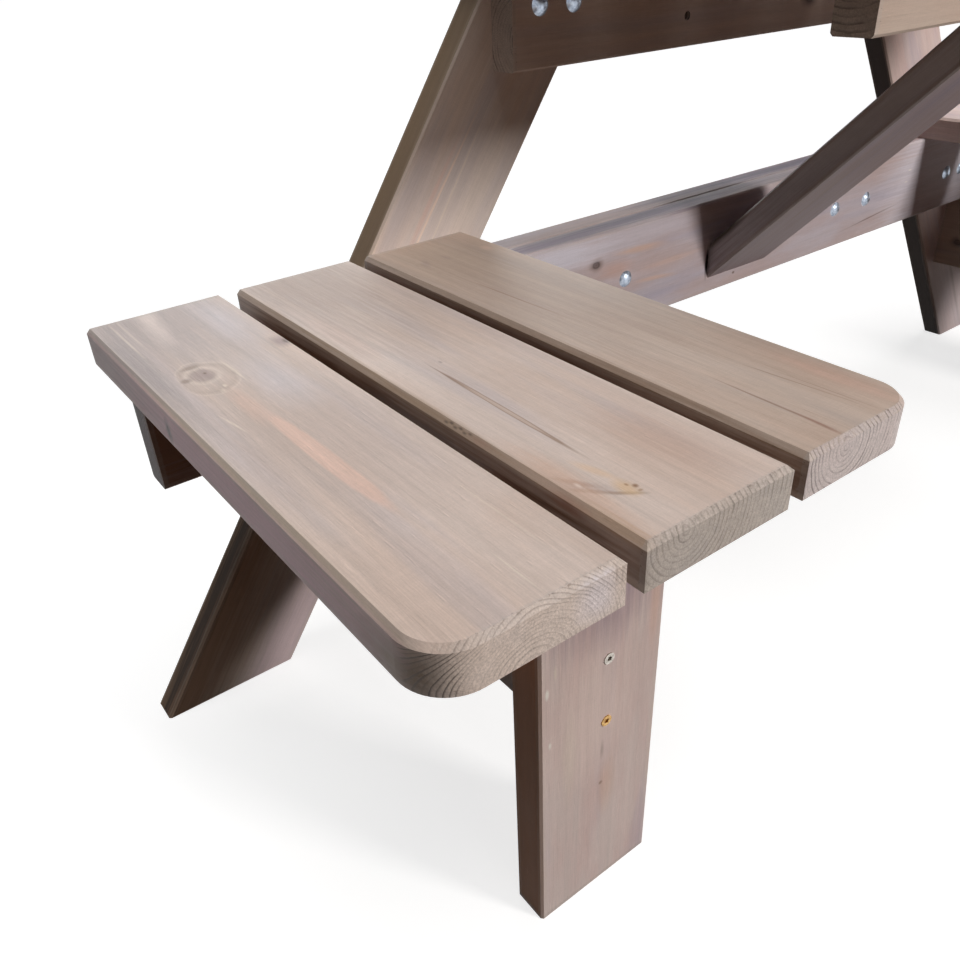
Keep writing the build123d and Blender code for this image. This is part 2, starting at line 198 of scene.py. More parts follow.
# Painted shade: dark brown on the plank sides that face into the gaps between the seat planks
GAP_SHADE_BROWN = srgb(100, 68, 46)
RED_LINE = srgb(70, 20, 6)
# A lilac stain on the top of the beam and ledger, darkened with painted shade from the tabletop above
TOP_SHADE_LILAC = srgb(118, 108, 126)
JOINT_BLACK = srgb(20, 14, 12)

LILAC_CLOUD = [
    (0.00, covering(204, 197, 202, 0.60)),
    (0.40, covering(202, 194, 198, 0.45)),
    (1.00, covering(196, 186, 186, 0.00)),
]
KNOT_HALO = [
    (0.00, covering(200, 182, 172, 0.25)),
    (0.55, covering(195, 176, 165, 0.40)),
    (0.80, covering(177, 157, 145, 0.60)),
    (0.89, covering(190, 172, 160, 0.35)),
    (0.94, covering(216, 201, 189, 0.35)),
    (1.00, covering(214, 198, 184, 0.00)),
]
PALE_RING = [
    (0.55, covering(208, 193, 182, 0.00)),
    (0.80, covering(212, 197, 186, 0.60)),
    (1.00, covering(206, 190, 178, 0.00)),
]
KNOT_HEART = [
    (0.00, covering(162, 142, 136, 0.90)),
    (0.70, covering(167, 148, 141, 0.80)),
    (1.00, covering(190, 172, 162, 0.00)),
]
DARK_KNOT = [
    (0.00, covering(84, 68, 66, 0.85)),
    (0.22, covering(108, 92, 90, 0.85)),
    (0.36, covering(74, 60, 58, 0.85)),
    (0.52, covering(132, 114, 110, 0.65)),
    (0.75, covering(150, 130, 124, 0.35)),
    (1.00, covering(166, 146, 138, 0.00)),
]
BROWN_KNOT = [
    (0.00, covering(122, 96, 80, 0.85)),
    (0.30, covering(150, 122, 104, 0.80)),
    (0.46, covering(118, 94, 80, 0.75)),
    (0.60, covering(176, 154, 138, 0.60)),
    (0.80, covering(160, 138, 122, 0.35)),
    (1.00, covering(172, 150, 134, 0.00)),
]
PINK_TONGUE = [
    (0.00, covering(217, 183, 167, 0.80)),
    (0.70, covering(215, 181, 165, 0.70)),
    (1.00, covering(208, 178, 164, 0.00)),
]
SPLIT = [
    (0.00, covering(190, 167, 149, 0.60)),
    (0.45, covering(178, 153, 135, 0.65)),
    (0.68, covering(138, 113, 95, 0.80)),
    (1.00, covering(160, 136, 118, 0.00)),
]

# Tones of the stain: light, warm and cool for each kind of board, and the usual tone of sawn ends
BEIGE = (srgb(207, 190, 181), srgb(202, 181, 169), srgb(188, 177, 178))
TAN = (srgb(216, 201, 192), srgb(212, 191, 178), srgb(200, 188, 186))
BROWN = (srgb(193, 175, 163), srgb(185, 163, 149), srgb(173, 159, 153))
PINK_GREY = (srgb(213, 196, 191), srgb(209, 183, 178), srgb(187, 176, 187))
LILAC_GREY = (srgb(201, 191, 198), srgb(194, 174, 173), srgb(178, 171, 187))
UMBER = (srgb(145, 129, 132), srgb(138, 120, 118), srgb(128, 117, 128))
END_GREY = srgb(188, 178, 171)

# Marks that the photograph shows, board by board
PHOTO_MARKS = {
    "seat_left_plank_1": [
        streak(20, 50, 180, 95, srgb(172, 158, 155), 0.85),
        streak(280, 66, 150, 70, srgb(184, 165, 156), 0.75),
        streak(110, 8, 150, 16, srgb(160, 149, 148), 0.8),
        # Painted light: the plank's outer side is paler and pinker for the light and sheen it shows, less so
        # near the wall
        streak(230, 0, 420, 3, srgb(242, 198, 210), 0.9, depth=-18, half_depth=30),
        streak(5, 0, 190, 3, srgb(140, 116, 116), 0.85, depth=-18, half_depth=30),
        streak(300, 1, 240, 3.5, srgb(206, 187, 163), 0.7, depth=-1.5, half_depth=3.5),
        blot(478, 4, 42, 22, srgb(114, 90, 66), 0.92, depth=-20, half_depth=20),
        knot(198, 78, 65, 24, LILAC_CLOUD),
        knot(60, 95, 90, 24, LILAC_CLOUD),
        knot(161, 42, 33, 21.5, KNOT_HALO, swirl=6.0),
        blot(162, 61.5, 30, 1.5, CREAM, 0.65, slope=0.02),
        knot(155, 41, 19, 14.5, PALE_RING),
        knot(154.5, 41, 13.5, 11, KNOT_HEART),
        blot(152, 43, 2.4, 1.6, DARK_BROWN, 0.7),
        blot(136, 38, 4.5, 8, srgb(146, 127, 114), 0.65),
        blot(156, 27, 5.5, 5, srgb(138, 118, 106), 0.75),
        blot(182, 46, 4, 2, CREAM, 0.9),
        blot(189, 42, 5, 2.5, CREAM, 0.5),
        blot(8, 48, 94, 12, srgb(216, 200, 193), 0.9, slope=-0.07),
        streak(48, 18, 60, 1.3, CREAM, 0.55),
        streak(40, 25, 55, 1.5, CREAM, 0.45),
        streak(240, 26.5, 22, 1.3, CREAM, 0.7, slope=0.14),
        mark(314, 52, 94, 7.5, PINK_TONGUE, slope=0.02, fibrous=False),
        blot(225, 46, 45, 9, SALMON, 0.6),
        blot(136, 112, 16, 8.5, srgb(146, 126, 124), 0.75),
        blot(138, 115.5, 6.5, 3.5, srgb(104, 86, 84), 0.85),
        blot(182, 0, 7, 3, srgb(58, 42, 42), 1.0, depth=-20, half_depth=12),
        streak(479, 71, 24, 0.9, CREAM, 0.8),
        streak(430, 96, 60, 1.2, CREAM, 0.4),
        blot(508, 100, 5, 17, srgb(236, 234, 255), 0.9, depth=-14, half_depth=20),
        blot(508, 113, 5, 1.0, RED_LINE, 0.9, depth=-6, half_depth=10),
        blot(508, 117, 5, 1.0, RED_LINE, 0.9, depth=-9, half_depth=12),
    ],
    "seat_left_plank_2": [
        streak(143, 18, 90, 14, PINK, 0.5),
        streak(30, 60, 220, 95, srgb(158, 138, 127), 0.85),
        # Painted shade on the plank's side in the gap
        streak(254, 0, 500, 4, GAP_SHADE_BROWN, 0.95, depth=-20, half_depth=22),
        streak(254, 0, 400, 7, EDGE_BROWN, 0.85, depth=0, half_depth=7),
        mark(339, 38, 88, 2.5, SPLIT, slope=-0.02, fibrous=False),
        streak(280, 39, 40, 0.9, BROWN_LINE, 0.7, slope=-0.02),
        streak(254, 49, 3, 1.5, SMUDGE, 0.7),
        *[
            blot(329 + 5 * i, 1.4 + i % 2, 3.2, 0.9, srgb(84, 62, 46), 0.9, depth=-1.5, half_depth=2.5)
            for i in range(6)
        ],
        blot(366, 1.5, 16, 3, srgb(170, 132, 114), 0.6, depth=-1.5, half_depth=4),
        streak(448, 0, 22, 4, RED_BROWN, 0.65, depth=-3),
        blot(438, 30, 20, 4.5, srgb(212, 182, 154), 0.6, slope=0.25),
        blot(448, 15, 22, 8, srgb(182, 168, 165), 0.5, slope=0.7),
        streak(440, 13, 17, 4, srgb(152, 122, 108), 0.5, slope=0.5),
        streak(455, 16, 14, 4, srgb(148, 120, 102), 0.5, slope=0.85),
        blot(467, 28, 9, 3.6, srgb(144, 120, 98), 0.6, slope=1.1),
        blot(462, 31, 13, 7.5, srgb(206, 174, 138), 0.7),
        blot(443, 12, 4, 1.8, srgb(226, 218, 212), 0.8),
        blot(464, 36, 2.6, 2.4, srgb(132, 98, 72), 0.85),
        blot(460, 33, 2.2, 1.4, srgb(150, 112, 80), 0.7),
        blot(469, 35, 1.6, 2.2, srgb(150, 116, 86), 0.6),
        streak(446, 79.5, 14, 0.8, CREAM, 0.6),
        streak(440, 84, 66, 24, srgb(188, 160, 146), 0.6),
        streak(432, 8, 70, 15, srgb(196, 160, 138), 0.5),
        streak(492, 2, 46, 7, srgb(184, 148, 118), 0.6),
    ],
    "seat_left_plank_3": [
        # Painted shade on the plank's side in the gap
        streak(254, 0, 500, 4, GAP_SHADE_BROWN, 0.95, depth=-20, half_depth=22),
        streak(254, 0, 400, 7, srgb(140, 108, 84), 0.85, depth=0, half_depth=7),
        # Painted shade: the plank is darker and browner towards the wall, under the tabletop
        streak(40, 60, 190, 80, srgb(166, 147, 132), 0.8),
        streak(215, 60, 170, 90, srgb(166, 147, 135), 0.8),
        streak(61, 32, 14, 6, SMUDGE, 0.45, slope=-0.3),
        streak(59, 57, 10, 4, SMUDGE, 0.4),
        streak(63, 103, 12, 6, SALMON, 0.4),
        streak(188, 37, 78, 1.3, BROWN_LINE, 0.75, slope=0.042),
        streak(450, 38, 64, 1.2, BROWN_LINE, 0.75, slope=-0.02),
        streak(488, 37, 24, 1.9, srgb(150, 116, 102), 0.75, slope=-0.06),
        streak(440, 74, 56, 1.0, BROWN_LINE, 0.5, slope=0.08),
        streak(462, 80, 48, 0.9, BROWN_LINE, 0.4, slope=0.03),
        streak(455, 101, 70, 13, srgb(200, 164, 148), 0.5),
    ],
    "seat_beam": [
        knot(531, 84, 14, 10, DARK_KNOT, swirl=3.0),
        streak(603, 88, 58, 6, SALMON, 0.75, slope=-0.07),
        streak(565, 72, 36, 14, srgb(204, 166, 152), 0.55),
        streak(632, 45, 46, 4, SALMON, 0.65, slope=-0.1),
        streak(660, 62, 60, 5, SALMON, 0.4),
        streak(784, 15, 3.5, 2.5, DARK_BROWN, 0.8),
        streak(1107, 26, 86, 1.4, DARK_BROWN, 0.6, slope=0.09),
        streak(470, 104, 110, 24, srgb(222, 217, 228), 0.9),
        # Lilac stain with painted shade under the tabletop, on the beam's top
        streak(620, 122, 330, 9, TOP_SHADE_LILAC, 0.9, depth=-18, half_depth=24),
        # Painted shade: the beam is darker and browner at its end under the seat's outer plank
        streak(20, 60, 140, 130, srgb(150, 108, 84), 0.9),
        # Painted light: the beam's far part, in the far seat's shadow, is made paler
        streak(1290, 60, 190, 130, srgb(226, 220, 230), 0.85),
        streak(480, 121, 130, 8, PURPLE_GREY, 0.75, depth=-12, half_depth=14),
        streak(700, 119, 90, 6, PURPLE_GREY, 0.75, depth=-8, half_depth=16),
        streak(1185, 79, 5, 1.5, WHITE_NICK, 0.9),
        streak(1181, 62, 6, 1.2, WHITE_NICK, 0.8),
        blot(727.5, 43, 4, 27, JOINT_BLACK, 1.0),
    ],
    "seat_ledger": [
        # Lilac stain with painted shade under the tabletop, on the ledger's top
        streak(620, 122, 330, 9, TOP_SHADE_LILAC, 0.9, depth=-18, half_depth=24),
    ],
    "seat_left_post": [
        # Painted light: a paler band on the post's front below the seat's shade; painted shade at its top
        # under the seat
        streak(215, 70, 90, 55, srgb(229, 209, 202), 0.7),
        streak(345, 60, 80, 85, srgb(157, 139, 148), 0.85),
        blot(261, 113.5, 6.5, 2.3, WHITE_NICK, 1.0),
        blot(208, 111, 5, 1.9, WHITE_NICK, 0.95),
        blot(277, 106, 9, 1.8, CREAM, 0.7),
        blot(300, 10, 70, 6, SALMON, 0.55),
        blot(165, 58, 14, 2.5, SMUDGE, 0.5),
        blot(127, 58, 2.5, 2.5, DARK_BROWN, 0.85),
        blot(120, 52, 40, 12, SALMON, 0.5),
        blot(180, 92, 60, 9, CREAM, 0.4),
    ],
    "leg_left": [
        streak(90, 15, 260, 48, srgb(222, 201, 206), 0.85),
        # Painted shadow: the lower leg's outer half is browner and darker where the seat's shadow falls, its
        # outer narrow side near black
        streak(80, 120, 380, 66, srgb(164, 128, 102), 0.85, half_depth=50),
        streak(120, 122, 380, 10, srgb(46, 34, 27), 0.95, depth=-14, half_depth=26),
        streak(604, 73, 130, 2.0, srgb(232, 209, 194), 0.85, slope=-0.02),
        streak(610, 79, 80, 4.5, srgb(216, 182, 170), 0.5),
        streak(622, 59, 120, 1.4, CREAM, 0.65, slope=0.02),
        streak(600, 105, 120, 16, srgb(186, 176, 178), 0.6),
    ],
    "leg_right": [
        streak(150, 60, 320, 130, srgb(220, 206, 210), 0.6),
        streak(170, 60, 150, 5, SMUDGE, 0.3),
    ],
    "brace": [
        streak(220, 70, 160, 4, SMUDGE, 0.4),
        streak(300, 34, 120, 3, CREAM, 0.4),
        # Painted light: the brace's side towards the left seat is near white, to lift it out of its shade
        streak(240, 0, 420, 4, srgb(216, 214, 218), 0.9, depth=-16, half_depth=28),
        # Painted shade: a black line along that side's upper edge near the foot, for the shadow between brace
        # and beam
        blot(28, 0, 62, 6, srgb(14, 10, 9), 1.0, depth=1, half_depth=9),
    ],
}


def corner_frame(node, along, across):
    """Matrix of a board's own axes: along it, across it and out of its face, from its corner."""
    low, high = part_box(node)
    along, across = Vector(along), Vector(across)
    out = along.cross(across)
    corner = Vector([
        low[i] if along[i] + across[i] > 0.5 or out[i] < -0.5 else high[i] for i in range(3)
    ])
    matrix = Matrix((along, across, out)).transposed().to_4x4()
    matrix.translation = corner
    return matrix


def leg_frame(node, side):
    """The same for a leaning leg: the left one from its inner edge, the right one from its outer edge."""
    low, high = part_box(node)
    along = Vector((0, -side * math.sin(LEG_LEAN), math.cos(LEG_LEAN)))
    out = Vector((1, 0, 0))
    across = out.cross(along)
    foot = Vector((high.x, low.y if side < 0 else high.y, low.z))
    if side < 0:
        foot -= across * BOARD_W
    matrix = Matrix((along, across, out)).transposed().to_4x4()
    matrix.translation = foot
    return matrix


def brace_frame():
    """The same for the brace, from the top of its foot."""
    low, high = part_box("brace")
    along = Vector((math.cos(BRACE_RISE), 0, math.sin(BRACE_RISE)))
    across = Vector((0, 1, 0))
    matrix = Matrix((along, across, along.cross(across))).transposed().to_4x4()
    matrix.translation = Vector((low.x, low.y, low.z + BOARD_T / math.cos(BRACE_RISE)))
    return matrix


def add_mark(graph, item, local, ragged, colour, radius, calm):
    """Lays one mark over the colour; one that swirls also pushes the growth rings aside and calms them."""
    place = tuple(value * MM for value in item["place"])
    half = tuple(value * MM for value in item["half"])
    offset = graph.vector("SUBTRACT", local, place)
    if item["slope"]:
        parts = graph.add("ShaderNodeSeparateXYZ", {0: offset}).outputs
        shift = graph.math("MULTIPLY", parts["X"], -item["slope"])
        offset = graph.vector("ADD", offset, graph.combine(y=shift))
    distance = graph.vector("LENGTH", graph.vector("DIVIDE", offset, half))
    distance = graph.math("ADD", distance, ragged)
    colours = graph.ramp(distance, item["stops"])
    if item["swirl"]:
        bulge = graph.remap(distance, 0.0, SWIRL_REACH, item["swirl"] * MM, 0.0)
        radius = graph.math("ADD", radius, bulge)
        calm = graph.math("MULTIPLY", calm, graph.remap(distance, *CALM_RANGE))
    return graph.mix(colours["Alpha"], colour, colours["Color"]), radius, calm


# Noise drawn out along the fibres: cells per metre along and across the board, octaves and roughness
SMOOTH_RIM = (22, 48, 3.0, 0.5)
FIBROUS_RIM = (14, 320, 3.0, 0.5)
PITH_WANDER = (5, 14, 2.0, 0.5)
RING_RIPPLE = (18, 90, 2.0, 0.5)
BROAD_TONE = (4.5, 20, 5.0, 0.62)
COOL_TONE = (2.5, 24, 3.0, 0.6)
RING_PATCHES = (4, 40, 2.0, 0.5)
EDGE_WEAR = (40, 90, 2.0, 0.5)
LONG_GRAIN = {
    "band": (3.5, 130, 4.0, 0.62),
    "fibre": (24, 800, 3.0, 0.65),
    "fleck": (90, 1300, 1.0, 0.5),
    "saw": (420, 30, 1.0, 0.5),
    "dash": (42, 360, 2.0, 0.55),
    "nick": (60, 620, 1.0, 0.5),
}

# Each board takes its noise from a place of its own, this many cells away at most
NOISE_SHIFT = 20

# A nick's dark lip is the same noise a little to its side
LIP_OFFSET = (0, 0.8 * MM, 0)

# Noise that is alike in all directions: cells per metre, octaves and roughness
CHIPS = (330, 3.0, 0.6)
FADED_RINGS = (50, 2.0, 0.5)
PORES = (850, 2.0, 0.6)
BLOTCHES = (140, 3.0, 0.6)

# How far the noise frays a mark's rim, moves the pith, the rings and the edges, and roughens an end's outline
SMOOTH_FRAY = 0.55
FIBROUS_FRAY = 0.75
PITH_DRIFT = 9 * MM
RING_WAVE = 1.6 * MM
EDGE_DRIFT = 4 * MM
CHIP_SPREAD = 0.7

# Colours that end grain and wear lay over the stain, and how much they cover
LATE_WOOD = srgb(92, 79, 71)
CORNER_LATE_WOOD = srgb(64, 52, 45)
SLANT_BROWN = srgb(112, 99, 91)
TORN_GREY = srgb(184, 174, 168)
CHIP_BROWN = srgb(116, 98, 86)
RUBBED_PALE = srgb(218, 204, 190)
COOL_COVER = 0.75
END_COVER = 0.7
SLANT_COVER = 0.32
TORN_COVER = 0.35
CHIP_COVER = 0.7
RUBBED_COVER = 0.15

# How strongly rings show on long grain, at most, and on rounded corners
LONG_RINGS = 0.07
CORNER_RINGS = 0.85

# Where noise starts and stops to count: for most uses, and for broad tones, cool tones, faint and faded rings
MIDDLE = (0.3, 0.7)
BROAD_RANGE = (0.34, 0.66)
COOL_RANGE = (0.46, 0.74)
PATCH_RANGE = (0.42, 0.68)
FADE_RANGE = (0.38, 0.58)
FADE_DEPTHS = (0.3, 1.1)

# A ring's late wood rises slowly and stops short, as shares of the ring; lines differ in strength
LATE_RISE = (0.48, 0.90)
LATE_STOP = (0.92, 1.0)
LATE_STRENGTHS = (0.25, 1.0)
RING_SEED_STEP = 1.7

# How squarely a face looks along, across or out of the board, 1 at most, to count as one of these places
END_FACING = (0.42, 0.82)
SIDE_FACING = (0.60, 0.85)
SLANT_FACING = 0.7
SLANT_SPREAD = 0.25
UPRIGHT_FACING = (0.2, 0.6)
CORNER_START = (0.05, 0.3)
CORNER_STOP = (0.8, 0.98)

# Reach of the wear from an edge; late wood tears further than early wood
TORN_REACH = (0.5 * MM, 1.6 * MM)
TORN_EASE = 1.35
CHIP_REACH = 2.2 * MM
CHIP_RANGE = (0.05, 0.13)
RUBBED_REACH = 2.5 * MM

# Light and dark of the long grain: noise, its low and high, what they multiply the colour by, eased or not
GRAIN_LIGHT = (
    ("band", 0.30, 0.70, 0.91, 1.06, False),
    ("fibre", 0.25, 0.75, 0.945, 1.05, False),
    ("fleck", 0.30, 0.80, 0.96, 1.05, False),
    ("saw", 0.30, 0.70, 0.985, 1.015, False),
    ("dash", 0.62, 0.74, 1.0, 1.07, True),
    ("dash", 0.26, 0.38, 0.93, 1.0, True),
    ("nick", 0.70, 0.78, 1.0, 1.12, True),
    ("lip", 0.70, 0.78, 1.0, 0.89, True),
)

# The same for pores on long grain and on the ends, and for blotches on the ends
FINE_LIGHT = (0.97, 1.03)
PORE_LIGHT = (0.78, 1.14)
BLOTCH_LIGHT = (0.90, 1.09)

# Relief: shares of the fibres everywhere, and of rings and pores on the ends
FIBRE_RELIEF = {"fibre": 0.4, "fleck": 0.3, "dash": 0.6}
RING_RELIEF = 0.6
PORE_RELIEF = 0.8
WOOD_BUMP = 0.35
WOOD_BUMP_HEIGHT = 0.5 * MM
WOOD_ROUGHNESS = (0.40, 0.52)


class Wood:
    """A board's material in the making: its shader graph, the board's own axes and its noise."""

    def __init__(self, name, matrix, seed):
        graph = Graph(bpy.data.materials.new(name))
        self.graph = graph
        self.seed = seed
        place = graph.add("ShaderNodeTexCoord", {}).outputs["Object"]
        self.local = graph.add("ShaderNodeMapping", {
            "Vector": place,
            "Location": matrix.translation,
            "Rotation": matrix.to_euler(),
        }, vector_type="TEXTURE").outputs[0]
        chance = random.Random(seed)
        self.shift = tuple(chance.uniform(-NOISE_SHIFT, NOISE_SHIFT) for _ in range(3))
        normal = graph.add("ShaderNodeNewGeometry", {}).outputs["Normal"]
        self.facing, self.sideways, self.outward = [
            graph.math("ABSOLUTE", graph.vector("DOT_PRODUCT", normal, tuple(matrix.col[i][:3])))
            for i in range(3)
        ]

    def grain(self, field, offset=(0, 0, 0)):
        """Noise drawn out along the fibres, which differs from board to board."""
        along, across, octaves, roughness = field
        moved = self.graph.vector("ADD", self.local, offset)
        scaled = self.graph.vector("MULTIPLY", moved, (along, across, across))
        return self.graph.noise(self.graph.vector("ADD", scaled, self.shift), octaves, roughness)

    def even(self, field):
        """Noise that is alike in all directions."""
        cells, octaves, roughness = field
        scaled = self.graph.vector("MULTIPLY", self.local, (cells, cells, cells))
        return self.graph.noise(scaled, octaves, roughness)

    def centred(self, noise, spread):
        """Noise that swings about zero."""
        return self.graph.math("MULTIPLY", self.graph.math("SUBTRACT", noise, 0.5), spread)


def pith_distance(wood, look):
    """Distance from the pith, which wanders along the board."""
    graph = wood.graph
    across, depth = look["pith"]
    from_pith = graph.vector("SUBTRACT", wood.local, (0, across * MM, depth * MM))
    flat = graph.vector("MULTIPLY", from_pith, (0, 1, look["flatness"]))
    wander = wood.centred(wood.grain(PITH_WANDER), PITH_DRIFT)
    ripple = wood.centred(wood.grain(RING_RIPPLE), RING_WAVE)
    return graph.math("ADD", graph.vector("LENGTH", flat), graph.math("ADD", wander, ripple))


def stain(wood, look, marks):
    """Broad tones, sides made darker and browner as painted shade, and the marks, with the rings' radius and
    calm as the marks leave them.
    """
    graph = wood.graph
    light_tone, warm_tone, cool_tone = look["tones"]
    broad = graph.remap(wood.grain(BROAD_TONE), *BROAD_RANGE)
    cool = graph.remap(wood.grain(COOL_TONE), *COOL_RANGE)
    colour = graph.mix(broad, light_tone, warm_tone)
    colour = graph.mix(graph.math("MULTIPLY", cool, COOL_COVER), colour, cool_tone)
    # Painted shade on the narrow sides
    shaded_sides = graph.remap(wood.sideways, *SIDE_FACING, 0.0, look["side_shade"][3])
    colour = graph.mix(shaded_sides, colour, look["side_shade"])

    smooth = wood.centred(wood.grain(SMOOTH_RIM), SMOOTH_FRAY)
    fibrous = wood.centred(wood.grain(FIBROUS_RIM), FIBROUS_FRAY)
    radius = pith_distance(wood, look)
    calm = 1.0
    for item in marks:
        ragged = fibrous if item["fibrous"] else smooth
        colour, radius, calm = add_mark(graph, item, wood.local, ragged, colour, radius, calm)
    return colour, radius, calm


def late_lines(wood, look, radius, calm):
    """Thin lines of late wood at the end of each ring of pale early wood, no two alike."""
    graph = wood.graph
    turns = graph.math("POWER", graph.math("DIVIDE", radius, look["ring"] * MM), look["crowding"])
    phase = graph.math("FRACT", turns)
    late = graph.math("MULTIPLY", graph.remap(phase, *LATE_RISE), graph.remap(phase, *LATE_STOP, 1.0, 0.0))
    each = graph.noise(graph.combine(graph.math("FLOOR", turns), RING_SEED_STEP * wood.seed), 0.0)
    late = graph.math("MULTIPLY", late, graph.remap(each, *MIDDLE, *LATE_STRENGTHS))
    return graph.math("MULTIPLY", late, calm)


def show_rings(wood, look, colour, late, end):
    """End grain and rounded corners show the rings strongly, long grain as faint lines that come and go."""
    graph = wood.graph
    off_slant = graph.math("ABSOLUTE", graph.math("SUBTRACT", wood.facing, SLANT_FACING))
    slanted = graph.remap(off_slant, 0.0, SLANT_SPREAD, SLANT_COVER, 0.0)
    patchy = graph.remap(wood.grain(RING_PATCHES), *PATCH_RANGE, 0.0, LONG_RINGS)
    faded = graph.remap(wood.even(FADED_RINGS), *FADE_RANGE, *FADE_DEPTHS)
    depth = graph.blend(end, patchy, graph.math("MULTIPLY", faded, look["ring_depth"]))
    upright = graph.remap(wood.outward, *UPRIGHT_FACING, 1.0, 0.0)
    past_side = graph.remap(wood.facing, *CORNER_START)
    before_end = graph.remap(wood.facing, *CORNER_STOP, 1.0, 0.0)
    curved = graph.math("MULTIPLY", past_side, before_end)
    round_corner = graph.math("MULTIPLY", upright, graph.math("MULTIPLY", curved, CORNER_RINGS))
    depth = graph.math("ADD", depth, graph.math("MAXIMUM", slanted, round_corner), clamp=True)
    colour = graph.mix(graph.math("MULTIPLY", end, END_COVER), colour, look["end_tone"])
    colour = graph.mix(slanted, colour, SLANT_BROWN)
    line_colour = graph.mix(upright, LATE_WOOD, CORNER_LATE_WOOD)
    return graph.mix(graph.math("MULTIPLY", late, depth), colour, line_colour)


def wear(wood, size, colour, late, end, chipped):
    """Torn fibres and chips where the long faces meet a square end, and pale rubbed edges."""
    graph = wood.graph
    length, width = size
    parts = graph.add("ShaderNodeSeparateXYZ", {0: wood.local}).outputs
    if length:
        to_end = graph.math("MINIMUM", parts["X"], graph.math("SUBTRACT", length, parts["X"]))
        to_end = graph.math("SUBTRACT", to_end, PLANK_CHAMFER)
        teeth = graph.math("MULTIPLY", to_end, graph.math("SUBTRACT", TORN_EASE, late))
        torn = graph.remap(teeth, *TORN_REACH, TORN_COVER, 0.0)
        torn = graph.math("MULTIPLY", torn, graph.math("SUBTRACT", 1.0, end))
        colour = graph.mix(torn, colour, TORN_GREY)
        rim = graph.remap(graph.math("ABSOLUTE", to_end), 0.0, CHIP_REACH, CHIP_COVER, 0.0)
        chips = graph.math("MULTIPLY", rim, graph.remap(chipped, *CHIP_RANGE))
        colour = graph.mix(chips, colour, CHIP_BROWN)
    depth = graph.math("MULTIPLY", parts["Z"], -1.0)
    to_side = graph.math("MINIMUM", parts["Y"], graph.math("SUBTRACT", width, parts["Y"]))
    to_face = graph.math("MINIMUM", depth, graph.math("SUBTRACT", BOARD_T, depth))
    edge = graph.math("MAXIMUM", to_side, to_face)
    edge = graph.math("ADD", edge, wood.centred(wood.grain(EDGE_WEAR), EDGE_DRIFT))
    rubbed = graph.remap(edge, PLANK_CHAMFER, PLANK_CHAMFER + RUBBED_REACH, RUBBED_COVER, 0.0)
    return graph.mix(rubbed, colour, RUBBED_PALE)


def shade(wood, texture, strength, end):
    """What the colour is multiplied by: streaks along the board, and mottled pores in the end grain."""
    graph = wood.graph
    light = 1.0
    for key, low, high, at_low, at_high, eased in GRAIN_LIGHT:
        light = graph.math("MULTIPLY", light, graph.remap(texture[key], low, high, at_low, at_high, eased))
    light = graph.blend(strength, 1.0, light)
    light = graph.math("MULTIPLY", light, graph.remap(texture["pores"], *MIDDLE, *FINE_LIGHT))
    pores = graph.remap(texture["pores"], *MIDDLE, *PORE_LIGHT, smooth=False)
    blotches = graph.remap(wood.even(BLOTCHES), *MIDDLE, *BLOTCH_LIGHT, smooth=False)
    light = graph.blend(end, light, graph.math("MULTIPLY", pores, blotches))
    return graph.add("ShaderNodeCombineColor", {0: light, 1: light, 2: light}).outputs[0]


def relief(graph, texture, late, end):
    """Raised fibres, and rings and pores on the ends."""
    ridges = graph.math("MULTIPLY", late, graph.math("MULTIPLY", end, RING_RELIEF))
    pits = graph.math("MULTIPLY", texture["pores"], graph.math("MULTIPLY", end, PORE_RELIEF))
    height = graph.math("ADD", ridges, pits)
    for key, share in FIBRE_RELIEF.items():
        height = graph.math("ADD", height, graph.math("MULTIPLY", texture[key], share))
    inputs = {"Height": height, "Strength": WOOD_BUMP, "Distance": WOOD_BUMP_HEIGHT}
    return graph.add("ShaderNodeBump", inputs).outputs[0]


def spruce(name, matrix, size, look, marks, seed):
    """Planed and stained spruce: growth rings about the pith, fibres along the board, and its marks."""
    wood = Wood(name, matrix, seed)
    graph = wood.graph
    texture = {key: wood.grain(field) for key, field in LONG_GRAIN.items()}
    texture["lip"] = wood.grain(LONG_GRAIN["nick"], LIP_OFFSET)
    texture["pores"] = wood.even(PORES)
    chipped = wood.centred(wood.even(CHIPS), CHIP_SPREAD)
    end = graph.remap(graph.math("ADD", wood.facing, chipped), *END_FACING)
    colour, radius, calm = stain(wood, look, marks)
    late = late_lines(wood, look, radius, calm)
    colour = show_rings(wood, look, colour, late, end)
    colour = wear(wood, size, colour, late, end, chipped)
    shader = graph.add("ShaderNodeBsdfPrincipled", {
        "Base Color": graph.mix(1.0, colour, shade(wood, texture, look["grain"], end), "MULTIPLY"),
        "Roughness": graph.remap(texture["fibre"], *MIDDLE, *WOOD_ROUGHNESS, smooth=False),
        "Specular IOR Level": look["sheen"],
        "Normal": relief(graph, texture, late, end),
    })
    return graph.finish(shader.outputs[0])


# Plated steel: cells per metre of mottling and scratches, their octaves, and how scratches change the gloss
PLATE_MOTTLE = (400, 400, 400)
MOTTLE_OCTAVES = 3.0
MOTTLE_RANGE = (0.35, 0.7)
PLATE_SCRATCHES = (300, 2600, 900)
SCRATCH_OCTAVES = 2.0
PLATE_NOISE_ROUGHNESS = 0.6
PLATE_SMOOTHER = 0.07
PLATE_ROUGHER = 0.12
PLATE_BUMP = 0.15
PLATE_BUMP_HEIGHT = 0.1 * MM


